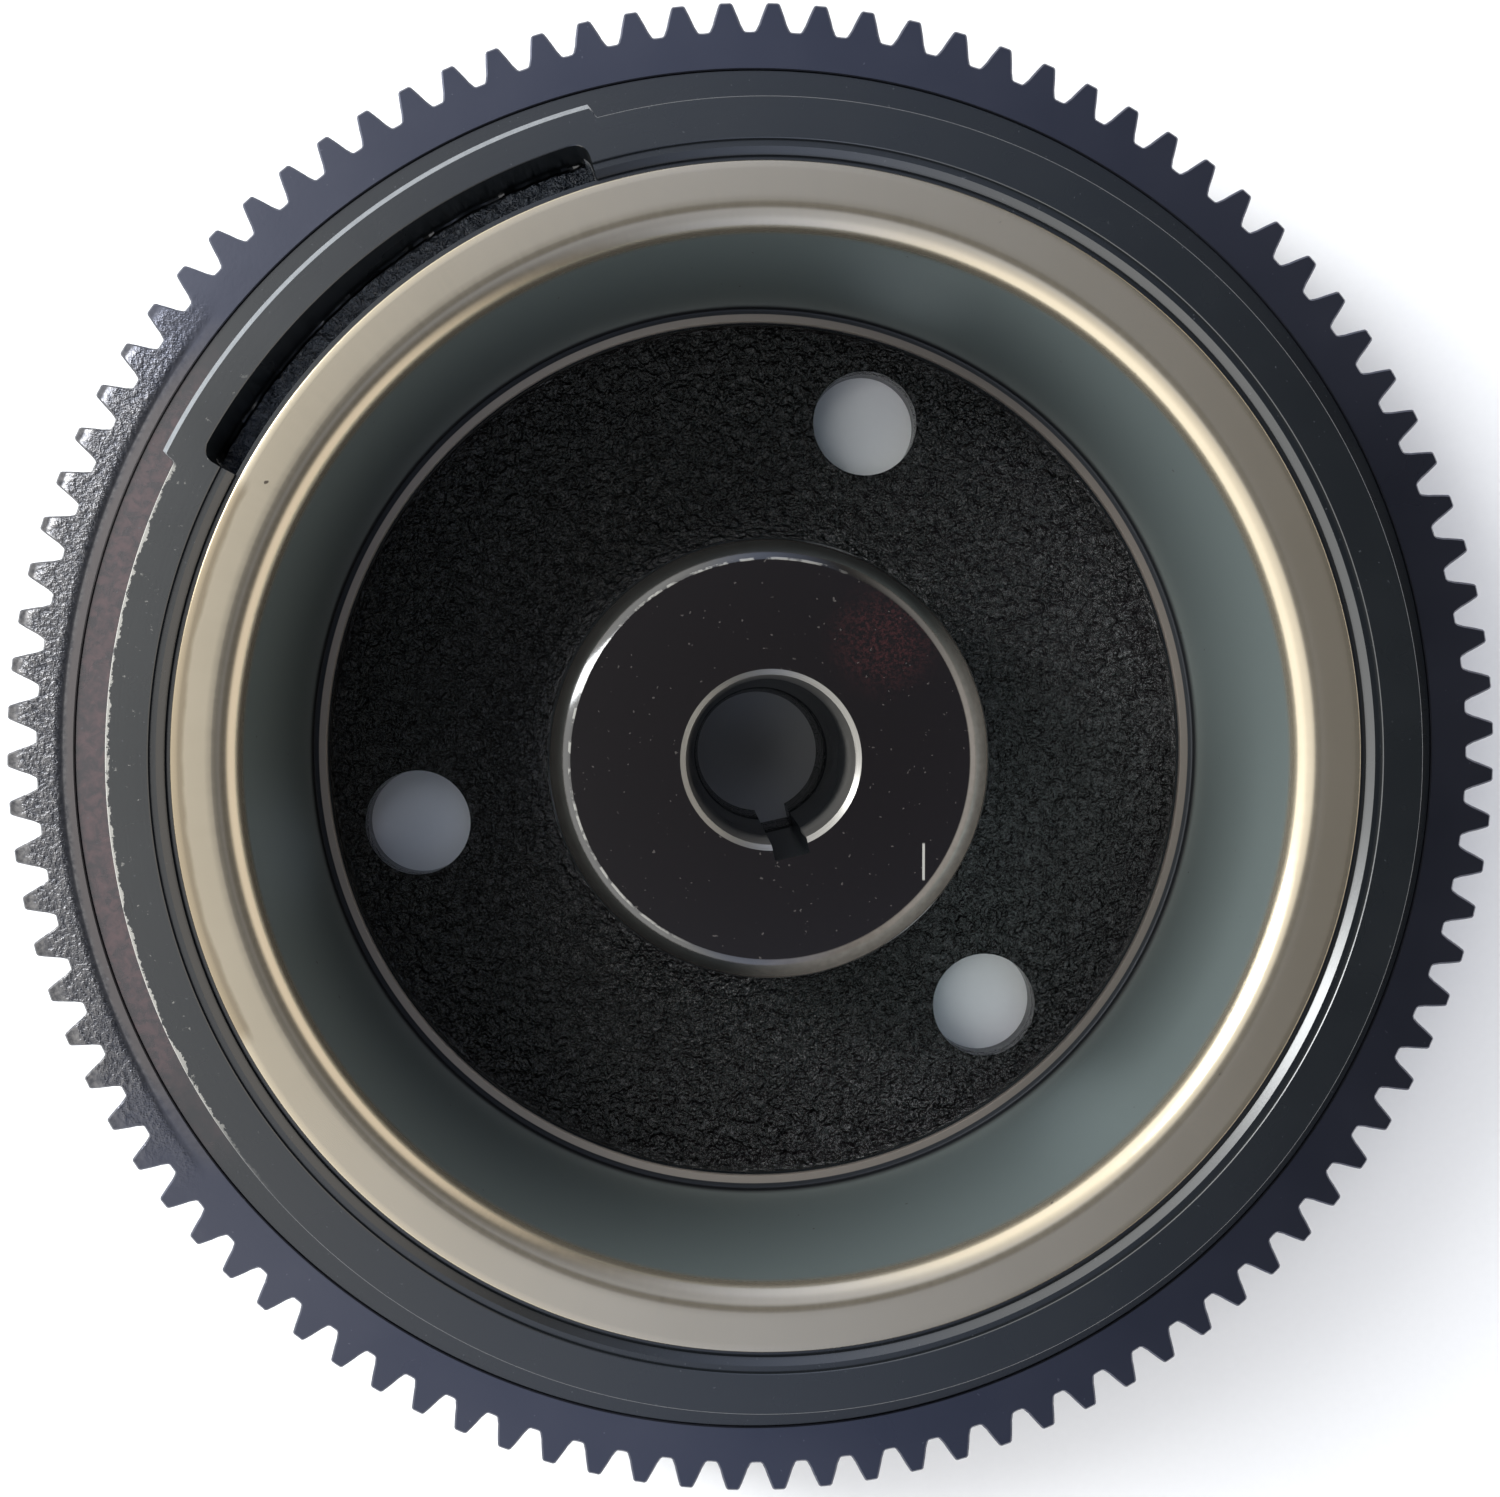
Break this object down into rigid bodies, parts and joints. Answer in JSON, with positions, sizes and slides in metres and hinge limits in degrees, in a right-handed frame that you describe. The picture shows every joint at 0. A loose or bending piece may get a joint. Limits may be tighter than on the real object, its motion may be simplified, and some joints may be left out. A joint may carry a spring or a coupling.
{
  "type": "flywheel",
  "caption": "Magneto flywheel: iron drum with a toothed starter ring outside, arc magnets under a pressed cover inside, and a keyed taper bore.",
  "frame": {"origin": "on the crankshaft axis, at the plane that the closed side rests on", "axes": "+Z along the crankshaft axis from the closed side to the open end; +X is the direction from which the angles of the keyway, lobe and web holes are counted"},
  "size_m": [0.2138, 0.2138, 0.055],
  "materials": {
    "body": "black painted iron, smooth on the machined end face and rough as cast on the web",
    "ring_gear": "black oxide steel with heat tint on one side",
    "cover": "satin, pale gold",
    "magnet": "matte ferrite",
    "spacer": "matte"
  },
  "bodies": {
    "root": {"flywheel_body": "body", "ring_gear": "ring_gear", "magnet_cover": "cover", "magnet_1": "magnet", "magnet_2": "magnet", "magnet_3": "magnet", "magnet_4": "magnet", "magnet_5": "magnet", "magnet_6": "magnet", "magnet_7": "magnet", "magnet_8": "magnet", "magnet_9": "magnet", "magnet_10": "magnet", "magnet_11": "magnet", "magnet_12": "magnet", "spacer_1": "spacer", "spacer_2": "spacer", "spacer_3": "spacer", "spacer_4": "spacer", "spacer_5": "spacer", "spacer_6": "spacer", "spacer_7": "spacer", "spacer_8": "spacer", "spacer_9": "spacer", "spacer_10": "spacer", "spacer_11": "spacer", "spacer_12": "spacer"}
  },
  "joints": []
}
